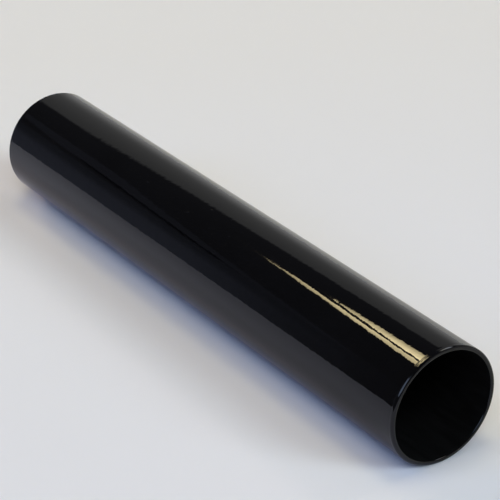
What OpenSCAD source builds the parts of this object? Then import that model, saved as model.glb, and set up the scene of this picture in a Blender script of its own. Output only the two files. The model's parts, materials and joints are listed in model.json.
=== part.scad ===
// Telescoping travel didgeridoo, pushed together: a gloss black bell tube with four
// thinner tubes nested in its bore and the mouthpiece on the innermost one.
// +X points out of the bell, +Z is up, and the bell tube lies on Z = 0.
// A place along the tube is written s: 0 is the bell tube's mouth end, and s grows
// towards the bell rim. The tubes slide out towards -X.

/* [Bell tube] */
// Length of the bell tube, from rim to rim
bell_length = 350; // [320:1:420]
// Outside diameter of the bell tube
bell_od = 60; // [58:0.5:70]
// Wall of the bell tube
bell_wall = 2.4; // [2:0.1:3]
// Radius that rounds both edges of each bell tube lip
bell_lip = 0.9; // [0.4:0.1:0.9]

/* [Inner tubes] */
// Wall of the four inner tubes
inner_wall = 1.2; // [1:0.1:1.4]
// Gap between the bore of one tube and the outside of the next
tube_gap = 1.8; // [1.8:0.1:1.9]
// How far inside the bell rim the second tube ends
bell_recess = 50; // [40:1:90]
// How much shorter each further tube stops at the bell side
foot_stagger = 1; // [0.5:0.5:3]

/* [Guides and stops] */
// Length of a guide bush, and of the sleeve of a stop collar
guide_length = 20; // [14:1:30]
// Length of a foot ring
foot_length = 20; // [14:1:30]
// Running clearance between a guide and the tube that slides in it
guide_clearance = 0.1; // [0.08:0.01:0.1]
// Clearance between a foot ring and the bore that it slides in
foot_clearance = 0.2; // [0.15:0.05:0.3]
// Thickness of a stop collar's flange
flange_thickness = 2.2; // [1.6:0.1:2.6]
// How far a flange's edge stays inside the bore of the tube below it
flange_margin = 0.4; // [0.3:0.05:0.6]
// How deep the bell tube's bush sits inside the mouth end
bush_recess = 1.6; // [1.2:0.1:3]
// Gap left under each flange when the sections are pushed together
stack_gap = 0.1; // [0.05:0.05:0.3]

/* [Felts and seals] */
// Depth of the felt's groove in a guide
felt_depth = 1.1; // [0.8:0.1:1.2]
// Width of the felt
felt_width = 4; // [3:0.5:6]
// Clearance between a felt or a seal and what slides past it
wipe_clearance = 0.05; // [0.03:0.01:0.08]
// Material left under the seal's groove in a foot ring
groove_floor = 0.4; // [0.3:0.05:0.5]
// Width of the seal's groove
groove_width = 1.8; // [1.6:0.1:2.4]

/* [Mouthpiece] */
// Bore of the mouthpiece
mouth_bore = 28.4; // [26:0.1:28.4]
// Outside diameter of the mouthpiece's rim
mouth_od = 38.4; // [37:0.1:40]
// How far the mouthpiece stands out of its collar
mouth_height = 3.4; // [3.2:0.1:8]
// Depth of the mouthpiece's spigot in the collar
spigot_depth = 1.4; // [1:0.1:1.6]
// Outside diameter of the spigot
spigot_od = 32.4; // [31.5:0.1:33]
// Wall of the mouth collar's sleeve
mouth_sleeve_wall = 1; // [0.8:0.1:1]
// Length of the mouth collar's sleeve
mouth_sleeve_length = 14; // [8:1:20]

/* [Hidden] */

// The sections are numbered from the bell: 1 is the bell tube and 5 the mouth tube.
BELL = 1;
SECOND = 2;
THIRD = 3;
FOURTH = 4;
MOUTH = 5;

LACQUER = [0.02, 0.02, 0.023];
SATIN_BLACK = [0.05, 0.05, 0.055];
ANODISED = [0.09, 0.09, 0.1];
ACETAL = [0.06, 0.06, 0.06];
NITRILE = [0.03, 0.03, 0.03];
FELT = [0.22, 0.22, 0.23];
SILICONE = [0.07, 0.07, 0.075];

edge = 0.3;            // rounds the small edges of tubes, rings and collars
slack = 0.02;          // keeps a seal clear of the floor of its groove
rim_outer_round = 2.6; // rounds the outside of the mouthpiece's rim
rim_inner_round = 1.4; // rounds its inside
arc_steps = 6;         // straight pieces in a quarter round
TURN = 96;             // sides of a turned shape as drawn

// Radii of the tubes, worked out inwards from the bell tube
function outer_r(k) = k == BELL ? bell_od / 2 : inner_r(k - 1) - tube_gap;
function inner_r(k) = outer_r(k) - (k == BELL ? bell_wall : inner_wall);
// Bore of the guide in section k, in which section k + 1 slides
function guide_r(k) = outer_r(k + 1) + guide_clearance;
// Where the flange of section k rests, stacked outwards from the bell tube's bush
function seat(k) =
    k == SECOND ? bush_recess - stack_gap : seat(k - 1) - flange_thickness - stack_gap;
function flange_r(k) = inner_r(k - 1) - flange_margin;
function guide_start(k) = k == BELL ? bush_recess : seat(k);
function felt_start(k) = guide_start(k) + (guide_length - felt_width) / 2;
// Bell side end of section k
function foot_end(k) = bell_length - bell_recess - (k - SECOND) * foot_stagger;
function foot_r(k) = inner_r(k - 1) - foot_clearance;
function seal_d(k) = inner_r(k - 1) - wipe_clearance - outer_r(k) - groove_floor - slack;

mouth_seat = seat(MOUTH) - flange_thickness;
mouth_front = mouth_seat - mouth_height;
overall = bell_length - mouth_front;
axis_height = bell_od / 2;

function arc(r, s, radius, from, to) = [
    for (i = [0:arc_steps])
        let (a = from + (to - from) * i / arc_steps)
            [r + radius * cos(a), s + radius * sin(a)]
];

// Outline of a ring or tube whose four edges are rounded
function ring_outline(r0, r1, s0, s1, round) = concat(
    arc(r0 + round, s0 + round, round, 180, 270),
    arc(r1 - round, s0 + round, round, 270, 360),
    arc(r1 - round, s1 - round, round, 0, 90),
    arc(r0 + round, s1 - round, round, 90, 180)
);

// Turns a flat outline, drawn as radius against s, about the tube's axis
module turned() {
    translate([-overall / 2 - mouth_front, 0, axis_height])
        rotate([0, 90, 0])
            rotate_extrude($fn = TURN)
                children();
}

module ring(r0, r1, s0, s1, round) {
    polygon(ring_outline(r0, r1, s0, s1, round));
}

module slab(r0, r1, s0, s1) {
    translate([r0, s0])
        square([r1 - r0, s1 - s0]);
}

module felt_groove(k) {
    slab(guide_r(k) - edge, guide_r(k) + felt_depth, felt_start(k), felt_start(k) + felt_width);
}

module inner_tube(k) {
    color(SATIN_BLACK)
        turned()
            ring(inner_r(k), outer_r(k), seat(k), foot_end(k), edge);
}

// Flange that stops section k against the section around it, with a sleeve bonded
// inside the tube's mouth end that guides the next tube
module stop_collar(k) {
    front = seat(k) - flange_thickness;
    color(ANODISED)
        turned()
            difference() {
                polygon(concat(
                    arc(guide_r(k) + edge, front + edge, edge, 180, 270),
                    arc(flange_r(k) - edge, front + edge, edge, 270, 360),
                    arc(flange_r(k) - edge, seat(k) - edge, edge, 0, 90),
                    [[inner_r(k), seat(k)]],
                    arc(inner_r(k) - edge, seat(k) + guide_length - edge, edge, 0, 90),
                    arc(guide_r(k) + edge, seat(k) + guide_length - edge, edge, 90, 180)
                ));
                felt_groove(k);
            }
}

module wiper_felt(k) {
    color(FELT)
        turned()
            slab(
                outer_r(k + 1) + wipe_clearance,
                guide_r(k) + felt_depth,
                felt_start(k),
                felt_start(k) + felt_width
            );
}

// Ring bonded outside the bell end of section k: it guides that end, holds the seal,
// and meets the guide of the section around it when pulled right out
module foot_ring(k) {
    middle = foot_end(k) - foot_length / 2;
    color(ACETAL)
        turned()
            difference() {
                ring(outer_r(k), foot_r(k), foot_end(k) - foot_length, foot_end(k), edge);
                slab(
                    outer_r(k) + groove_floor,
                    foot_r(k) + edge,
                    middle - groove_width / 2,
                    middle + groove_width / 2
                );
            }
}

module seal_ring(k) {
    color(NITRILE)
        turned()
            translate([
                outer_r(k) + groove_floor + slack + seal_d(k) / 2,
                foot_end(k) - foot_length / 2
            ])
                circle(d = seal_d(k), $fn = 32);
}

module bell_tube() {
    color(LACQUER)
        turned()
            ring(inner_r(BELL), outer_r(BELL), 0, bell_length, bell_lip);
}

// Bush bonded inside the bell tube's mouth end: it guides the second tube
module bell_guide_bush() {
    color(ACETAL)
        turned()
            difference() {
                ring(guide_r(BELL), inner_r(BELL), bush_recess, bush_recess + guide_length, edge);
                felt_groove(BELL);
            }
}

module bell_wiper_felt() wiper_felt(BELL);

module second_tube() inner_tube(SECOND);
module second_stop_collar() stop_collar(SECOND);
module second_wiper_felt() wiper_felt(SECOND);
module second_foot_ring() foot_ring(SECOND);
module second_seal_ring() seal_ring(SECOND);

module third_tube() inner_tube(THIRD);
module third_stop_collar() stop_collar(THIRD);
module third_wiper_felt() wiper_felt(THIRD);
module third_foot_ring() foot_ring(THIRD);
module third_seal_ring() seal_ring(THIRD);

module fourth_tube() inner_tube(FOURTH);
module fourth_stop_collar() stop_collar(FOURTH);
module fourth_wiper_felt() wiper_felt(FOURTH);
module fourth_foot_ring() foot_ring(FOURTH);
module fourth_seal_ring() seal_ring(FOURTH);

module mouth_tube() inner_tube(MOUTH);
module mouth_foot_ring() foot_ring(MOUTH);
module mouth_seal_ring() seal_ring(MOUTH);

// Collar on the innermost tube, with a step in its face that the mouthpiece plugs into
module mouth_collar() {
    bore = inner_r(MOUTH) - mouth_sleeve_wall;
    sleeve_end = seat(MOUTH) + mouth_sleeve_length;
    color(ANODISED)
        turned()
            polygon(concat(
                [[bore, mouth_seat + spigot_depth], [spigot_od / 2, mouth_seat + spigot_depth]],
                [[spigot_od / 2, mouth_seat]],
                arc(flange_r(MOUTH) - edge, mouth_seat + edge, edge, 270, 360),
                arc(flange_r(MOUTH) - edge, seat(MOUTH) - edge, edge, 0, 90),
                [[inner_r(MOUTH), seat(MOUTH)]],
                arc(inner_r(MOUTH) - edge, sleeve_end - edge, edge, 0, 90),
                arc(bore + edge, sleeve_end - edge, edge, 90, 180)
            ));
}

// Soft ring for the lips
module mouthpiece() {
    bore = mouth_bore / 2;
    rim = mouth_od / 2;
    spigot_end = mouth_seat + spigot_depth;
    color(SILICONE)
        turned()
            polygon(concat(
                arc(bore + rim_inner_round, mouth_front + rim_inner_round, rim_inner_round, 180, 270),
                arc(rim - rim_outer_round, mouth_front + rim_outer_round, rim_outer_round, 270, 360),
                arc(rim - edge, mouth_seat - edge, edge, 0, 90),
                [[spigot_od / 2, mouth_seat], [spigot_od / 2, spigot_end], [bore, spigot_end]]
            ));
}

bell_tube();
bell_guide_bush();
bell_wiper_felt();
second_tube();
second_stop_collar();
second_wiper_felt();
second_foot_ring();
second_seal_ring();
third_tube();
third_stop_collar();
third_wiper_felt();
third_foot_ring();
third_seal_ring();
fourth_tube();
fourth_stop_collar();
fourth_wiper_felt();
fourth_foot_ring();
fourth_seal_ring();
mouth_tube();
mouth_collar();
mouth_foot_ring();
mouth_seal_ring();
mouthpiece();
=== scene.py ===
"""A telescoping travel didgeridoo, pushed together, lying on a pale surface.

Lengths are metres. +X points out of the bell and +Z is up. The tube's axis runs
along X at the height AXIS_Z. Angles round the axis start at +Y and grow towards +Z.
"""
import json
import math

import bmesh
import bpy
from mathutils import Matrix, Vector


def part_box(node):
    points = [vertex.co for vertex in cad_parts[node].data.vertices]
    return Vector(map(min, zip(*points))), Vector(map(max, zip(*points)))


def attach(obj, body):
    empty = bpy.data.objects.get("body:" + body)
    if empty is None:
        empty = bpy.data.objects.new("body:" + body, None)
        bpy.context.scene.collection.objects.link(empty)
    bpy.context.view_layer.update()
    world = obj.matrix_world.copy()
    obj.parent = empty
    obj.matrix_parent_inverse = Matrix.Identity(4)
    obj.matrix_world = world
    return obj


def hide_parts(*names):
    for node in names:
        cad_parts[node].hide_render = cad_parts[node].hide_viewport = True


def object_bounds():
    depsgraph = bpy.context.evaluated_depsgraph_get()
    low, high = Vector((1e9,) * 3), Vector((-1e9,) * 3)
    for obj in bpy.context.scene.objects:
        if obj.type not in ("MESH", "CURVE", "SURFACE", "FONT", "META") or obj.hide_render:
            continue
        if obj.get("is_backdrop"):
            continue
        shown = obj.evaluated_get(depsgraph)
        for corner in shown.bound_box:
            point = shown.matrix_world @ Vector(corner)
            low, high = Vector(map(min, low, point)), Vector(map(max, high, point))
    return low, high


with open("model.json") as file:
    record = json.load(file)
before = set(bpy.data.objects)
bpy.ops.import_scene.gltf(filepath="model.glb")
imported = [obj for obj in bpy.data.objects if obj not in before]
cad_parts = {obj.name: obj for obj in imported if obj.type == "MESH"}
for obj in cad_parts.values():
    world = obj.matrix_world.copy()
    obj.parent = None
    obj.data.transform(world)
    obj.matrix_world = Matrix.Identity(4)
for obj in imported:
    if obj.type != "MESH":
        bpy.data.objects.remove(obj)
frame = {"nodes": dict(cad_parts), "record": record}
CAD_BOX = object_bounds()
SCENE = bpy.context.scene
MM = 0.001

BELL_LOW, BELL_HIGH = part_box("bell_tube")
OUTSIDE = next(m for m in frame["record"]["mounts"] if m["name"] == "bell_tube_outside")
AXIS_Z = OUTSIDE["pos_m"][2]
BELL_RADIUS = OUTSIDE["dims"]["r_mm"] * MM


# ---------------------------------------------------------------- camera

# Azimuth is from -Y towards +X, and elevation above level
CAMERA_AZIMUTH = math.radians(55.2)
CAMERA_ELEVATION = math.radians(27.5)
CAMERA_DISTANCE = 1.0
CAMERA_LENS = 143.7
AIM_FROM_RIM = 0.1527
AIM_ABOVE_AXIS = 0.014


def make_camera():
    """A long lens from the right front, above the bell rim."""
    aim = Vector((BELL_HIGH.x - AIM_FROM_RIM, 0, AXIS_Z + AIM_ABOVE_AXIS))
    back = Vector((
        math.sin(CAMERA_AZIMUTH) * math.cos(CAMERA_ELEVATION),
        -math.cos(CAMERA_AZIMUTH) * math.cos(CAMERA_ELEVATION),
        math.sin(CAMERA_ELEVATION),
    ))
    data = bpy.data.cameras.new("camera")
    data.lens = CAMERA_LENS
    data.sensor_width = 36
    data.clip_start = 0.05
    data.clip_end = 60
    camera = bpy.data.objects.new("camera", data)
    camera.location = aim + back * CAMERA_DISTANCE
    camera.rotation_mode = "QUATERNION"
    camera.rotation_quaternion = (-back).to_track_quat("-Z", "Y")
    SCENE.collection.objects.link(camera)
    SCENE.camera = camera


# ---------------------------------------------------------------- materials

class Shader:
    """A node material being built: a Principled shader and short names for its parts."""

    def __init__(self, name):
        self.material = bpy.data.materials.new(name)
        self.material.use_nodes = True
        self.nodes = self.material.node_tree.nodes
        self.links = self.material.node_tree.links
        self.main = self.nodes["Principled BSDF"]
        self.place = self.nodes.new("ShaderNodeTexCoord").outputs["Object"]

    def set(self, **values):
        """Sets constant values on the shader's own sockets: base_color becomes Base Color."""
        for key, value in values.items():
            self.main.inputs[key.replace("_", " ").title().replace("Ior", "IOR")].default_value = value

    def link(self, output, socket):
        self.links.new(output, self.main.inputs[socket])

    def stretched(self, scale):
        """The object's own coordinates, multiplied by scale along each axis."""
        node = self.nodes.new("ShaderNodeMapping")
        node.inputs["Scale"].default_value = scale
        self.links.new(self.place, node.inputs["Vector"])
        return node.outputs["Vector"]

    def split(self):
        """The object's own coordinates as three numbers, X, Y and Z."""
        node = self.nodes.new("ShaderNodeSeparateXYZ")
        self.links.new(self.place, node.inputs[0])
        return node.outputs

    def round_the_axis(self):
        """Coordinates for turned marks: along the tube, radius, nothing."""
        x, y, z = self.split()
        height = self.calculate("SUBTRACT", z, AXIS_Z)
        squares = self.calculate(
            "ADD",
            self.calculate("MULTIPLY", y, y),
            self.calculate("MULTIPLY", height, height),
        )
        joined = self.nodes.new("ShaderNodeCombineXYZ")
        self.links.new(x, joined.inputs["X"])
        self.links.new(self.calculate("POWER", squares, 0.5), joined.inputs["Y"])
        return joined.outputs[0]

    def calculate(self, operation, a, b):
        node = self.nodes.new("ShaderNodeMath")
        node.operation = operation
        for socket, value in zip(node.inputs, (a, b)):
            if isinstance(value, (int, float)):
                socket.default_value = value
            else:
                self.links.new(value, socket)
        return node.outputs[0]

    def noise(self, vector, scale, detail=2.0, roughness=0.5):
        node = self.nodes.new("ShaderNodeTexNoise")
        node.inputs["Scale"].default_value = scale
        node.inputs["Detail"].default_value = detail
        node.inputs["Roughness"].default_value = roughness
        self.links.new(vector, node.inputs["Vector"])
        return node.outputs["Fac"]

    def ramp(self, factor, low, high, start=0.3, end=0.7):
        """Values or colours from low to high as factor goes from start to end."""
        node = self.nodes.new("ShaderNodeValToRGB")
        stops = node.color_ramp.elements
        for stop, position, value in ((stops[0], start, low), (stops[1], end, high)):
            stop.position = position
            colour = value if isinstance(value, tuple) else (value, value, value)
            stop.color = (*colour, 1)
        self.links.new(factor, node.inputs["Fac"])
        return node.outputs["Color"]

    def mix(self, factor, colour, other):
        """colour where factor is 0, and the constant other where it is 1."""
        node = self.nodes.new("ShaderNodeMix")
        node.data_type = "RGBA"
        first, second = (socket for socket in node.inputs if socket.type == "RGBA")
        self.links.new(factor, node.inputs["Factor"])
        self.links.new(colour, first)
        second.default_value = (*other, 1)
        return next(socket for socket in node.outputs if socket.type == "RGBA")

    def bump(self, height, depth, under=None):
        """Bump of that depth in metres, on top of an earlier bump."""
        node = self.nodes.new("ShaderNodeBump")
        node.inputs["Strength"].default_value = 1
        node.inputs["Distance"].default_value = depth
        self.links.new(height, node.inputs["Height"])
        if under is not None:
            self.links.new(under, node.inputs["Normal"])
        self.links.new(node.outputs["Normal"], self.main.inputs["Normal"])
        return node.outputs["Normal"]


def gloss_black_lacquer():
    """Deep gloss with a faint orange peel, fine dust in the coat and handling haze."""
    s = Shader("gloss_black_lacquer")
    s.set(ior=1.5)
    haze = s.noise(s.stretched((14, 40, 40)), 1.0, 5, 0.6)
    s.link(s.ramp(haze, (0.0011, 0.0011, 0.0013), (0.0022, 0.0022, 0.0026)), "Base Color")
    s.link(s.ramp(haze, 0.018, 0.055, 0.35, 0.75), "Roughness")
    peel = s.bump(s.noise(s.stretched((260, 420, 420)), 1.0, 1.5), 2.6e-5)
    s.bump(s.noise(s.place, 1500, 2), 1e-6, peel)
    return s.material


def bore_black():
    """The unpolished inside of the bell tube, which swallows the light."""
    s = Shader("bore_black")
    s.set(roughness=0.9, specular_ior_level=0.04)
    grain = s.noise(s.stretched((60, 400, 400)), 1.0, 4)
    s.link(s.ramp(grain, (0.0035, 0.0034, 0.0034), (0.007, 0.0068, 0.0068)), "Base Color")
    s.bump(grain, 2e-5)
    return s.material


def satin_black_tube():
    """Satin black, with fine marks drawn along the tube by the guides."""
    s = Shader("satin_black_tube")
    s.set(ior=1.48)
    drawn = s.noise(s.stretched((9, 900, 900)), 1.0, 3, 0.6)
    cloud = s.noise(s.stretched((30, 60, 60)), 1.0, 4)
    s.link(s.ramp(cloud, (0.009, 0.009, 0.010), (0.014, 0.014, 0.0155)), "Base Color")
    s.link(s.ramp(drawn, 0.26, 0.40, 0.3, 0.75), "Roughness")
    s.bump(drawn, 6e-6)
    return s.material


BARE_METAL = (0.42, 0.42, 0.43)


def black_anodised_collar():
    """Black anodised metal with the fine rings of the lathe, rubbed bare where it is held.

    The mesh's "wear" attribute says where that is.
    """
    s = Shader("black_anodised_collar")
    s.set(metallic=0.8)
    rings = s.noise(s.round_the_axis(), 5200, 2, 0.6)
    cloud = s.noise(s.place, 120, 3)
    black = s.ramp(cloud, (0.045, 0.045, 0.050), (0.065, 0.065, 0.071))
    wear = s.nodes.new("ShaderNodeAttribute")
    wear.attribute_name = "wear"
    patches = s.ramp(s.noise(s.place, 420, 3), 0.15, 0.9)
    worn = s.calculate("MULTIPLY", patches, wear.outputs["Fac"])
    s.link(s.mix(worn, black, BARE_METAL), "Base Color")
    s.link(s.ramp(rings, 0.24, 0.38), "Roughness")
    s.bump(rings, 1.0e-5)
    return s.material


def black_acetal():
    """Turned plastic, semi-matt, with tool marks."""
    s = Shader("black_acetal")
    rings = s.noise(s.round_the_axis(), 3600, 2)
    s.link(s.ramp(s.noise(s.place, 200, 3), (0.012, 0.012, 0.012), (0.02, 0.02, 0.02)), "Base Color")
    s.link(s.ramp(rings, 0.38, 0.52), "Roughness")
    s.bump(rings, 1.4e-5)
    return s.material


def grey_felt():
    """Dense wool felt: mottled grey fibres with a soft sheen."""
    s = Shader("grey_felt")
    s.set(roughness=0.95, sheen_weight=0.4, sheen_roughness=0.5)
    fibres = s.noise(s.place, 2600, 5, 0.7)
    s.link(s.ramp(fibres, (0.07, 0.07, 0.075), (0.2, 0.2, 0.21)), "Base Color")
    s.bump(fibres, 1.5e-4)
    return s.material


def seal_rubber():
    """Greased nitrile rubber."""
    s = Shader("seal_rubber")
    grease = s.noise(s.place, 900, 3)
    s.link(s.ramp(grease, (0.006, 0.006, 0.006), (0.012, 0.012, 0.012)), "Base Color")
    s.link(s.ramp(grease, 0.22, 0.42), "Roughness")
    s.bump(grease, 1e-5)
    return s.material


def mouthpiece_silicone():
    """Smooth matt silicone, with a bloom and a little lint."""
    s = Shader("mouthpiece_silicone")
    s.set(ior=1.41, sheen_weight=0.08, sheen_roughness=0.4)
    bloom = s.noise(s.place, 260, 4, 0.6)
    s.link(s.ramp(bloom, (0.016, 0.016, 0.0175), (0.028, 0.028, 0.030)), "Base Color")
    s.link(s.ramp(bloom, 0.42, 0.56), "Roughness")
    s.bump(s.noise(s.place, 3000, 3), 1e-5)
    return s.material


# ---------------------------------------------------------------- turned shapes

SIDES = 256
SHARP_ANGLE = math.radians(35)
# Extra outline points stand this far from each corner, and no further apart than this
SUPPORT_MARGIN = 0.12 * MM
LONGEST_RUN = 8 * MM
SAME_POINT = 1e-9


def arc(x, r, radius, start, end, steps):
    """Points of an arc in the (along, radius) plane, angles in degrees from +x towards +r."""
    angles = [math.radians(start + (end - start) * i / steps) for i in range(steps + 1)]
    return [(x + radius * math.cos(a), r + radius * math.sin(a)) for a in angles]


def tube_outline(x0, x1, r0, r1, edge, steps):
    """Outline of a tube from x0 to x1: inner radius r0, outer r1, with rounded edges."""
    return (
        arc(x1 - edge, r0 + edge, edge, 270, 360, steps)
        + arc(x1 - edge, r1 - edge, edge, 0, 90, steps)
        + arc(x0 + edge, r1 - edge, edge, 90, 180, steps)
        + arc(x0 + edge, r0 + edge, edge, 180, 270, steps)
    )


def supported(outline):
    """Adds points next to each corner and along long runs, so that shading stays true."""
    out = []
    for (xa, ra), (xb, rb) in zip(outline, outline[1:] + outline[:1]):
        length = math.hypot(xb - xa, rb - ra)
        if length < SAME_POINT:
            continue
        out.append((xa, ra))
        if length < 4 * SUPPORT_MARGIN:
            continue
        inner = length - 2 * SUPPORT_MARGIN
        runs = max(1, math.ceil(inner / LONGEST_RUN))
        for k in range(runs + 1):
            share = (SUPPORT_MARGIN + inner * k / runs) / length
            out.append((xa + (xb - xa) * share, ra + (rb - ra) * share))
    return out


def lathe(name, outline, materials, sides=SIDES, radius_at=None, is_second=None, wear_at=None):
    """Turns a closed outline about the tube's axis into a mesh object.

    radius_at(x, r, angle) may reshape it, wear_at(r, angle) fills its "wear"
    attribute, and faces whose middle passes is_second(x, r) take the second material.
    """
    points = supported(outline)
    mesh = bpy.data.meshes.new(name)
    bm = bmesh.new()
    wear = bm.verts.layers.float.new("wear") if wear_at else None
    rings = []
    for i in range(sides):
        angle = 2 * math.pi * i / sides
        ring = []
        for x, r in points:
            radius = radius_at(x, r, angle) if radius_at else r
            place = (x, radius * math.cos(angle), AXIS_Z + radius * math.sin(angle))
            ring.append(bm.verts.new(place))
            if wear_at:
                ring[-1][wear] = wear_at(r, angle)
        rings.append(ring)
    count = len(points)
    for i in range(sides):
        here, there = rings[i], rings[(i + 1) % sides]
        for j in range(count):
            k = (j + 1) % count
            face = bm.faces.new((here[j], here[k], there[k], there[j]))
            face.smooth = True
            if is_second:
                x, r = ((points[j][n] + points[k][n]) / 2 for n in (0, 1))
                face.material_index = 1 if is_second(x, r) else 0
    bmesh.ops.recalc_face_normals(bm, faces=bm.faces)
    bm.to_mesh(mesh)
    bm.free()
    mesh.set_sharp_from_angle(angle=SHARP_ANGLE)
    for material in materials:
        mesh.materials.append(material)
    piece = bpy.data.objects.new(name, mesh)
    SCENE.collection.objects.link(piece)
    return piece


def smooth(value, start, end):
    """0 before start, 1 after end, and an even turn between them."""
    share = min(max((value - start) / (end - start), 0), 1)
    return share * share * (3 - 2 * share)


def span(node):
    """Where a CAD node starts and ends along the axis, and its inner and outer radius."""
    low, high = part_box(node)
    radii = [
        math.hypot(v.co.y, v.co.z - AXIS_Z) for v in frame["nodes"][node].data.vertices
    ]
    return low.x, high.x, min(radii), max(radii)


def stand_for(piece, node, body):
    """Puts a piece on its body, in place of its CAD node."""
    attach(piece, body)
    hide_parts(node)


# ---------------------------------------------------------------- pieces

# The sections between the bell tube and the mouth tube
SECTIONS = ["second", "third", "fourth"]

# The bell tube's lips, and the faint hollow behind each
BELL_SIDES = 384
LIP_OUTER_ROUND = 1.25 * MM
LIP_INNER_ROUND = 0.85 * MM
LIP_OUTER_STEPS = 14
LIP_INNER_STEPS = 6
LACQUER_STOPS = 0.05  # of the inner lip's rounding, up from the bore
DIP_FROM_END = 2.3 * MM
DIP_WIDTH = 1.6 * MM
DIP_DEPTH = 0.03 * MM
DIP_STEPS = 12

# Inner tubes, collars and foot rings
TUBE_EDGE = 0.35 * MM
TUBE_EDGE_STEPS = 6
SMALL_EDGE = 0.3 * MM
SMALL_STEPS = 4
COIN_DEPTH = 0.22 * MM
COIN_REACH = 0.5 * SMALL_EDGE
COIN_WEAR_REACH = 1.2 * SMALL_EDGE
COIN_TEETH = {"second": 150, "third": 132, "fourth": 114, "mouth": 98}
SIDES_PER_TOOTH = 6
FACE_GROOVE_ROUND = 0.28 * MM
FACE_GROOVE_STEPS = 6
SEAL_GROOVE_HALF = 0.9 * MM
SEAL_SLACK = 0.02 * MM

# Mouthpiece
SPIGOT_RADIUS = 16.2 * MM
RIM_OUTER_ROUND = 2.6 * MM
RIM_OUTER_STEPS = 14
RIM_INNER_ROUND = 1.4 * MM
RIM_INNER_STEPS = 10
RIM_BACK_STEPS = 5
MOUTHPIECE_SIDES = 192


def lacquer_dip(end, towards, radius):
    """The faint hollow where the lacquer drew back from the lip, in outline points."""
    points = []
    for k in range(DIP_STEPS + 1):
        share = k / DIP_STEPS - 0.5
        depth = DIP_DEPTH * (0.5 + 0.5 * math.cos(2 * math.pi * share))
        points.append((end + towards * (DIP_FROM_END + share * DIP_WIDTH), radius - depth))
    return points


def make_bell_tube(lacquer, bore):
    """The outer tube: gloss outside and on its rounded lips, matt in the bore."""
    x0, x1, r0, r1 = span("bell_tube")
    i, o = LIP_INNER_ROUND, LIP_OUTER_ROUND
    outline = (
        arc(x1 - i, r0 + i, i, 270, 360, LIP_INNER_STEPS)
        + arc(x1 - o, r1 - o, o, 0, 90, LIP_OUTER_STEPS)
        + lacquer_dip(x1, -1, r1)
        + lacquer_dip(x0, 1, r1)[::-1]
        + arc(x0 + o, r1 - o, o, 90, 180, LIP_OUTER_STEPS)
        + arc(x0 + i, r0 + i, i, 180, 270, LIP_INNER_STEPS)
    )
    piece = lathe(
        "bell_tube_lacquered",
        outline,
        [lacquer, bore],
        sides=BELL_SIDES,
        is_second=lambda x, r: r < r0 + LACQUER_STOPS * i,
    )
    stand_for(piece, "bell_tube", "bell_section")


# Each nib's distance from the middle of the bell tube towards the rim, its angle round
# the tube in degrees, and its radius
NIBS = [
    (-51.3 * MM, 117.2, 0.30 * MM),
    (-11.0 * MM, 120.3, 0.36 * MM),
    (-0.6 * MM, 104.4, 0.42 * MM),
    (24.2 * MM, 117.7, 0.30 * MM),
]
NIB_SINK = 0.04 * MM
NIB_SQUASH = (1.25, 0.9, 0.55, 1)


def make_nibs(lacquer):
    """Specks of dust caught under the lacquer, each a tiny dome on the bell tube."""
    bm = bmesh.new()
    middle = (BELL_LOW.x + BELL_HIGH.x) / 2
    for along, degrees, radius in NIBS:
        a = math.radians(degrees)
        out = Vector((0, math.cos(a), math.sin(a)))
        centre = Vector((middle + along, 0, AXIS_Z)) + out * (BELL_RADIUS - NIB_SINK)
        turn = out.to_track_quat("Z", "Y").to_matrix().to_4x4()
        bmesh.ops.create_uvsphere(
            bm, u_segments=16, v_segments=10, radius=radius,
            matrix=Matrix.Translation(centre) @ turn @ Matrix.Diagonal(NIB_SQUASH),
        )
    mesh = bpy.data.meshes.new("lacquer_nibs")
    for face in bm.faces:
        face.smooth = True
    bm.to_mesh(mesh)
    bm.free()
    mesh.materials.append(lacquer)
    piece = bpy.data.objects.new("lacquer_nibs", mesh)
    SCENE.collection.objects.link(piece)
    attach(piece, "bell_section")


def make_inner_tube(section, material):
    """A plain drawn tube with its edges taken off."""
    x0, x1, r0, r1 = span(section + "_tube")
    piece = lathe(
        section + "_tube_drawn",
        tube_outline(x0, x1, r0, r1, TUBE_EDGE, TUBE_EDGE_STEPS),
        [material],
    )
    stand_for(piece, section + "_tube", section + "_section")


def coin_edge(section, flange_r, x_from, x_to):
    """Fine teeth across the flange's edge, for the fingers that pull the section out.

    Gives the functions for the radius and for the wear of the teeth's crests.
    """
    teeth = COIN_TEETH[section]

    def valley(angle):
        return (0.5 - 0.5 * math.cos(teeth * angle)) ** 2

    def radius_at(x, r, angle):
        if r < flange_r - COIN_REACH or not x_from < x < x_to:
            return r
        return r - COIN_DEPTH * valley(angle)

    def wear_at(r, angle):
        return (1 - valley(angle)) * smooth(r, flange_r - COIN_WEAR_REACH, flange_r)

    return radius_at, wear_at


def collar_back(seat, sleeve_end, bore_r, sleeve_r, flange_r):
    """The part of a collar's outline round its sleeve's end and up to its flange's edge."""
    e = SMALL_EDGE
    return (
        arc(sleeve_end - e, bore_r + e, e, 270, 360, SMALL_STEPS)
        + arc(sleeve_end - e, sleeve_r - e, e, 0, 90, SMALL_STEPS)
        + [(seat, sleeve_r)]
        + arc(seat - e, flange_r - e, e, 0, 90, SMALL_STEPS)
    )


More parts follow.
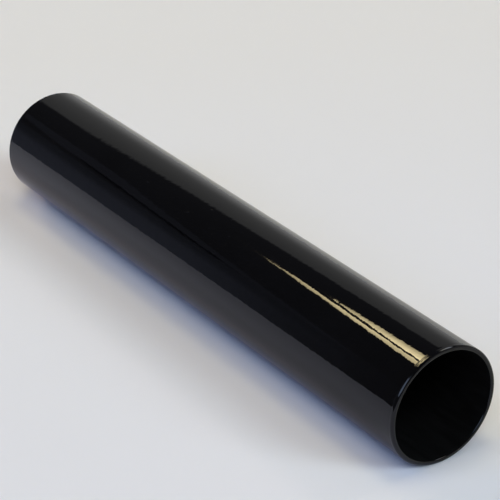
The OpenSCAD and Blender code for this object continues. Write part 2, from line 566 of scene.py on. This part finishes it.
def make_stop_collar(section, material):
    """Flange with a coin edge and a turned groove in its face, on a sleeve in the tube."""
    front, sleeve_end, bore_r, flange_r = span(section + "_stop_collar")
    seat, _, sleeve_r, _ = span(section + "_tube")
    felt_x0, felt_x1, _, felt_r = span(section + "_wiper_felt")
    e = SMALL_EDGE
    face_groove = (bore_r + flange_r) / 2
    outline = (
        arc(front + e, bore_r + e, e, 180, 270, SMALL_STEPS)
        + [(felt_x0, bore_r), (felt_x0, felt_r), (felt_x1, felt_r), (felt_x1, bore_r)]
        + collar_back(seat, sleeve_end, bore_r, sleeve_r, flange_r)
        + arc(front + e, flange_r - e, e, 90, 180, SMALL_STEPS)
        + arc(front, face_groove, FACE_GROOVE_ROUND, 90, -90, FACE_GROOVE_STEPS)
    )
    radius_at, wear_at = coin_edge(section, flange_r, front + e / 2, seat - e / 2)
    sides = COIN_TEETH[section] * SIDES_PER_TOOTH
    name = section + "_stop_collar_turned"
    piece = lathe(name, outline, [material], sides, radius_at, wear_at=wear_at)
    stand_for(piece, section + "_stop_collar", section + "_section")


def make_mouth_collar(material):
    """Flange with a coin edge and a step for the mouthpiece, on a sleeve in the tube."""
    front, sleeve_end, bore_r, flange_r = span("mouth_collar")
    seat, _, sleeve_r, _ = span("mouth_tube")
    _, spigot_x, _, _ = span("mouthpiece")
    e = SMALL_EDGE
    outline = (
        [(spigot_x, SPIGOT_RADIUS), (spigot_x, bore_r)]
        + collar_back(seat, sleeve_end, bore_r, sleeve_r, flange_r)
        + arc(front + e, flange_r - e, e, 90, 180, SMALL_STEPS)
        + [(front, SPIGOT_RADIUS)]
    )
    radius_at, wear_at = coin_edge("mouth", flange_r, front + e / 2, seat - e / 2)
    sides = COIN_TEETH["mouth"] * SIDES_PER_TOOTH
    piece = lathe("mouth_collar_turned", outline, [material], sides, radius_at, wear_at=wear_at)
    stand_for(piece, "mouth_collar", "mouth_section")


def make_mouthpiece(material):
    """The soft ring for the lips: a cushioned rim and a spigot in the collar's step."""
    front, spigot_x, bore_r, rim_r = span("mouthpiece")
    collar_front = span("mouth_collar")[0]
    e, i, o = SMALL_EDGE, RIM_INNER_ROUND, RIM_OUTER_ROUND
    outline = (
        [(spigot_x, bore_r), (spigot_x, SPIGOT_RADIUS), (collar_front, SPIGOT_RADIUS)]
        + arc(collar_front - e, rim_r - e, e, 0, 90, RIM_BACK_STEPS)
        + arc(front + o, rim_r - o, o, 90, 180, RIM_OUTER_STEPS)
        + arc(front + i, bore_r + i, i, 180, 270, RIM_INNER_STEPS)
    )
    piece = lathe("mouthpiece_rim", outline, [material], MOUTHPIECE_SIDES)
    stand_for(piece, "mouthpiece", "mouth_section")


def make_foot_ring(section, material):
    """Turned ring round the bell end of an inner tube, with a groove for its seal."""
    x0, x1, r0, r1 = span(section + "_foot_ring")
    seal_x0, seal_x1, seal_r, _ = span(section + "_seal_ring")
    middle = (seal_x0 + seal_x1) / 2
    groove_x0, groove_x1 = middle - SEAL_GROOVE_HALF, middle + SEAL_GROOVE_HALF
    floor = seal_r - SEAL_SLACK
    e = SMALL_EDGE
    outline = (
        arc(x1 - e, r0 + e, e, 270, 360, SMALL_STEPS)
        + arc(x1 - e, r1 - e, e, 0, 90, SMALL_STEPS)
        + [(groove_x1, r1), (groove_x1, floor), (groove_x0, floor), (groove_x0, r1)]
        + arc(x0 + e, r1 - e, e, 90, 180, SMALL_STEPS)
        + arc(x0 + e, r0 + e, e, 180, 270, SMALL_STEPS)
    )
    piece = lathe(section + "_foot_ring_turned", outline, [material])
    stand_for(piece, section + "_foot_ring", section + "_section")


def finish_cad_nodes(materials):
    """Gives each CAD node that stays in sight the material of its kind."""
    for name, node in frame["nodes"].items():
        kind = next((k for k in materials if name.endswith(k)), None)
        if kind is None:
            continue
        node.data.materials.clear()
        node.data.materials.append(materials[kind])


def make_object():
    lacquer, satin = gloss_black_lacquer(), satin_black_tube()
    anodised, acetal = black_anodised_collar(), black_acetal()
    make_bell_tube(lacquer, bore_black())
    make_nibs(lacquer)
    for section in SECTIONS:
        make_inner_tube(section, satin)
        make_stop_collar(section, anodised)
        make_foot_ring(section, acetal)
    make_inner_tube("mouth", satin)
    make_foot_ring("mouth", acetal)
    make_mouth_collar(anodised)
    make_mouthpiece(mouthpiece_silicone())
    finish_cad_nodes({
        "guide_bush": acetal,
        "wiper_felt": grey_felt(),
        "seal_ring": seal_rubber(),
    })


# ---------------------------------------------------------------- stage and light

FLOOR_REACH = 30.0
FLOOR_MOTTLE = 0.03
# The mirrored table's front edge: its Y where X is 0, and how that changes with X
TABLE_FRONT = -0.292
TABLE_FRONT_SLOPE = -0.14
LAMP_HEIGHT = 1.5
ROOM_RADIUS = 8.0
ROOM_STEP = 1.5  # degrees
ROOM_BOTTOM = -35  # degrees above level
ROOM_DIM = (0.042, 0.042, 0.049)
AIR_LIGHT = (0.0375, 0.0375, 0.0375, 1)
AIR_SEEN = (0.7, 0.7, 0.69, 1)

# Patches of the room that the gloss mirrors: azimuths, elevations, how softly they end,
# the elevations between which the colour turns, and the two colours
ROOM_PATCHES = [
    # the pale wall behind the table
    ((10, 171), (-40, 36.4), (2, 0.7), (0, 21), (0.50, 0.50, 0.50), (0.25, 0.25, 0.25)),
    # the bluish far left of the room, low down
    ((176, 225), (-40, 21), (10, 2), (7, 18), (0.14, 0.152, 0.205), (0.068, 0.074, 0.095)),
    # the window at the front left
    ((238, 312), (18, 47), (6, 6), (18, 47), (1.2, 1.5, 2.1), (1.2, 1.5, 2.1)),
    # the window above the back wall
    ((62, 122), (45, 64), (5, 4), (47, 62), (2.8, 3.0, 3.4), (3.0, 2.9, 2.6)),
]

# Ceiling cards, in plan. A lamp lies between two edges, front and back, each a row of
# points with the strength of the glow there
LAMP_COLOUR = (1.0, 0.83, 0.47)
LAMPS = {
    "lamp_front": (
        [(-1.45, -0.105, 3.0), (-1.225, -0.29, 7.5), (-1.0, -0.49, 8.5)],
        [(-1.38, -0.035, 6.0), (-1.19, -0.135, 12.0), (-1.0, -0.23, 10.0)],
    ),
    "lamp_back": (
        [(-1.28, 0.04, 6.5), (-1.115, -0.09, 15.0), (-0.95, -0.22, 25.0)],
        [(-1.27, 0.12, 3.0), (-1.12, 0.215, 5.0), (-0.95, 0.31, 6.0)],
    ),
}

# A dim panel beside the lamps, and the darker gap beside it, as corners in plan
PANEL_COLOUR = (0.74, 0.78, 1.0)
PANEL_STRENGTH = 0.1
GAP_STRENGTH = PANEL_STRENGTH / 8
PANEL = [
    (-2.12, -0.85), (-2.17, -1.08), (-2.40, -2.25), (-2.45, -2.60), (-2.95, -2.60),
    (-2.95, -2.26), (-2.71, -2.26), (-2.71, -1.45), (-2.90, -1.60), (-2.60, -0.80),
]
PANEL_GAP = [(-2.71, -1.45), (-2.71, -2.26), (-2.93, -2.26), (-2.93, -1.68)]


def emission(name, strength, colour=(1, 1, 1)):
    """A material that only glows."""
    material = bpy.data.materials.new(name)
    material.use_nodes = True
    nodes = material.node_tree.nodes
    nodes.clear()
    glow = nodes.new("ShaderNodeEmission")
    glow.inputs["Color"].default_value = (*colour, 1)
    glow.inputs["Strength"].default_value = strength
    out = nodes.new("ShaderNodeOutputMaterial")
    material.node_tree.links.new(glow.outputs[0], out.inputs["Surface"])
    return material


def stage_mesh(name, vertices, faces, material):
    """A mesh that isn't part of the object."""
    mesh = bpy.data.meshes.new(name)
    mesh.from_pydata(vertices, [], faces)
    mesh.materials.append(material)
    piece = bpy.data.objects.new(name, mesh)
    SCENE.collection.objects.link(piece)
    piece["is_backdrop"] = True
    return piece


def polygon(name, corners, material):
    return stage_mesh(name, corners, [tuple(range(len(corners)))], material)


def painted_mesh(name, vertices, faces, colours):
    """A stage mesh that glows with a colour given at each vertex."""
    material = emission(name + "_glow", 1.0)
    nodes = material.node_tree.nodes
    paint = nodes.new("ShaderNodeAttribute")
    paint.attribute_name = "light"
    material.node_tree.links.new(paint.outputs["Color"], nodes["Emission"].inputs["Color"])
    piece = stage_mesh(name, vertices, faces, material)
    layer = piece.data.attributes.new("light", "FLOAT_COLOR", "POINT")
    for item, colour in zip(layer.data, colours):
        item.color = colour
    return piece


def only_in_reflections(card):
    """Hides a stage piece from everything but the gloss."""
    card.visible_camera = False
    card.visible_diffuse = False
    card.visible_transmission = False
    card.visible_shadow = False


def floor_material(name, heading, start, end, low, high):
    """Matt and a little mottled, turning from low to high along a heading: painted light.

    The heading is in degrees from +X towards +Y, and start and end are metres along it.
    """
    s = Shader(name)
    s.set(roughness=0.9, specular_ior_level=0.1)
    x, y, _ = s.split()
    a = math.radians(heading)
    along = s.calculate(
        "ADD",
        s.calculate("MULTIPLY", x, math.cos(a)),
        s.calculate("MULTIPLY", y, math.sin(a)),
    )
    mottle = s.calculate("MULTIPLY", s.noise(s.place, 9, 5, 0.55), FLOOR_MOTTLE)
    past_start = s.calculate("SUBTRACT", s.calculate("ADD", along, mottle), start)
    share = s.calculate("DIVIDE", past_start, end - start)
    s.link(s.ramp(share, low, high, 0, 1), "Base Color")
    return s.material


def make_floor():
    """The pale surface, with painted light that makes it cooler at the front and warmer at the back,
    and the table that the gloss mirrors in its place.

    In front of the tube the table is bluer, darkens outwards and ends at an edge. Behind
    the tube it is warmer, and darkens towards the bell. Both tones are painted light and shade.
    """
    h = FLOOR_REACH
    # Painted light: the floor's colour turns from cool at the front to warm at the back.
    painted_cool_light, painted_warm_light = (0.797, 0.809, 0.848), (0.796, 0.782, 0.746)
    pale = floor_material("pale_floor", 156, -0.28, 0.38, painted_cool_light, painted_warm_light)
    floor = polygon("floor", [(-h, -h, 0), (h, -h, 0), (h, h, 0), (-h, h, 0)], pale)
    floor.visible_glossy = False
    floor.visible_shadow = False
    left = (-h, TABLE_FRONT - TABLE_FRONT_SLOPE * h, 0)
    right = (h, TABLE_FRONT + TABLE_FRONT_SLOPE * h, 0)
    meeting = (-TABLE_FRONT / TABLE_FRONT_SLOPE, 0, 0)
    # Painted light and shade for the gloss to mirror: brighter and bluer near the tube, darker further
    # out.
    painted_near_light, painted_far_shade = (0.84, 0.84, 0.96), (0.66, 0.66, 0.76)
    front = floor_material("mirrored_front", -67, -0.03, 0.113, painted_near_light, painted_far_shade)
    # Painted light and shade for the gloss to mirror: lighter at the mouth end, darker towards the
    # bell.
    painted_mouth_end_light, painted_bell_end_shade = (0.90, 0.89, 0.84), (0.62, 0.61, 0.59)
    back = floor_material("mirrored_back", 0, -0.20, 0.14, painted_mouth_end_light, painted_bell_end_shade)
    only_in_reflections(polygon("table_front", [meeting, right, (h, 0, 0)], front))
    back_corners = [left, meeting, (h, 0, 0), (h, h, 0), (-h, h, 0)]
    only_in_reflections(polygon("table_back", back_corners, back))


def direction(azimuth, elevation):
    """The unit vector that way, degrees from +X towards +Y and above level."""
    a, e = math.radians(azimuth), math.radians(elevation)
    return Vector((math.cos(a) * math.cos(e), math.sin(a) * math.cos(e), math.sin(e)))


def inside(value, limits, softness):
    """1 between the limits and 0 outside them, with soft ends."""
    low, high = limits
    rise = smooth(value, low - softness / 2, low + softness / 2)
    return rise * (1 - smooth(value, high - softness / 2, high + softness / 2))


def room_light(azimuth, elevation):
    """Radiance of the room in that direction, degrees from +X towards +Y and above level."""
    light = ROOM_DIM
    for azimuths, elevations, softness, turn, low, high in ROOM_PATCHES:
        cover = inside(azimuth, azimuths, softness[0]) * inside(elevation, elevations, softness[1])
        mix = smooth(elevation, *turn)
        patch = [a + (b - a) * mix for a, b in zip(low, high)]
        light = [a + (b - a) * cover for a, b in zip(light, patch)]
    return light


def make_room():
    """A dome painted with the light of the room, seen only in reflections."""
    columns = round(360 / ROOM_STEP)
    rows = round((90 - ROOM_BOTTOM) / ROOM_STEP)
    vertices, faces, colours = [], [], []
    for i in range(columns):
        azimuth = 360 * i / columns
        for j in range(rows + 1):
            elevation = ROOM_BOTTOM + (90 - ROOM_BOTTOM) * j / rows
            vertices.append(direction(azimuth, elevation) * ROOM_RADIUS)
            colours.append((*room_light(azimuth, elevation), 1))
    for i in range(columns):
        here, there = i * (rows + 1), (i + 1) % columns * (rows + 1)
        for j in range(rows):
            faces.append((here + j, there + j, there + j + 1, here + j + 1))
    only_in_reflections(painted_mesh("room", vertices, faces, colours))


def glow_strip(name, edges, colour):
    """A ceiling card between two edges, with its own strength at each point."""
    points = [point for edge in edges for point in edge]
    vertices = [(x, y, LAMP_HEIGHT) for x, y, strength in points]
    colours = [(*(strength * channel for channel in colour), 1) for x, y, strength in points]
    count = len(edges[0])
    faces = [(k, k + 1, count + k + 1, count + k) for k in range(count - 1)]
    only_in_reflections(painted_mesh(name, vertices, faces, colours))


def make_ceiling_cards():
    """Warm lamps overhead, and a dim panel beside a dark gap further off."""
    for name, edges in LAMPS.items():
        glow_strip(name, edges, LAMP_COLOUR)
    for name, corners, strength in (
        ("dim_panel", PANEL, PANEL_STRENGTH),
        ("dark_gap", PANEL_GAP, GAP_STRENGTH),
    ):
        raised = [(x, y, LAMP_HEIGHT) for x, y in corners]
        only_in_reflections(polygon(name, raised, emission(name, strength, PANEL_COLOUR)))


# Soft lights: azimuth, elevation, strength, colour, and how wide each looks. Angles are
# in degrees
LIGHTS = {
    "right_window": (25, 30, 1.55, (0.75, 0.9, 1.0), 25),
    "front_right_window": (325, 45, 0.9, (0.85, 0.9, 1.0), 25),
    "front_window": (260, 40, 1.0, (0.4, 0.55, 1.0), 35),
    "left_lamps": (180, 15, 1.6, (1.0, 0.75, 0.55), 30),
    "overhead_lamps": (180, 85, 0.55, (1.0, 0.9, 0.55), 20),
    "back_window": (90, 50, 0.2, (1.0, 0.8, 0.75), 10),
    "front_lamp": (255, 70, 0.15, (1.0, 0.75, 0.1), 25),
}


def make_lights():
    """Suns with soft edges, which the gloss doesn't mirror."""
    for name, (azimuth, elevation, strength, colour, width) in LIGHTS.items():
        data = bpy.data.lights.new(name, "SUN")
        data.energy = strength
        data.color = colour
        data.angle = math.radians(width)
        light = bpy.data.objects.new(name, data)
        light.rotation_mode = "QUATERNION"
        light.rotation_quaternion = direction(azimuth, elevation).to_track_quat("Z", "Y")
        light.visible_glossy = False
        SCENE.collection.objects.link(light)


def make_world():
    """Pale to the camera, and a little even light to everything else."""
    world = bpy.data.worlds.new("room_air")
    SCENE.world = world
    world.use_nodes = True
    nodes, links = world.node_tree.nodes, world.node_tree.links
    nodes.clear()
    shades = []
    for colour in (AIR_LIGHT, AIR_SEEN):
        shade = nodes.new("ShaderNodeBackground")
        shade.inputs["Color"].default_value = colour
        shades.append(shade)
    path = nodes.new("ShaderNodeLightPath")
    mix = nodes.new("ShaderNodeMixShader")
    links.new(path.outputs["Is Camera Ray"], mix.inputs[0])
    links.new(shades[0].outputs[0], mix.inputs[1])
    links.new(shades[1].outputs[0], mix.inputs[2])
    out = nodes.new("ShaderNodeOutputWorld")
    links.new(mix.outputs[0], out.inputs["Surface"])


def make_stage():
    make_floor()
    make_room()
    make_ceiling_cards()
    make_lights()
    make_world()


# ---------------------------------------------------------------- build

def write_sizes():
    """The CAD box and the visual model's box, gathered but not written or compared."""
    boxes = {"cad": CAD_BOX, "visual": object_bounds()}
    {k: [list(corner) for corner in v] for k, v in boxes.items()}


SCENE.view_settings.view_transform = "Standard"
make_camera()
make_object()
make_stage()
write_sizes()
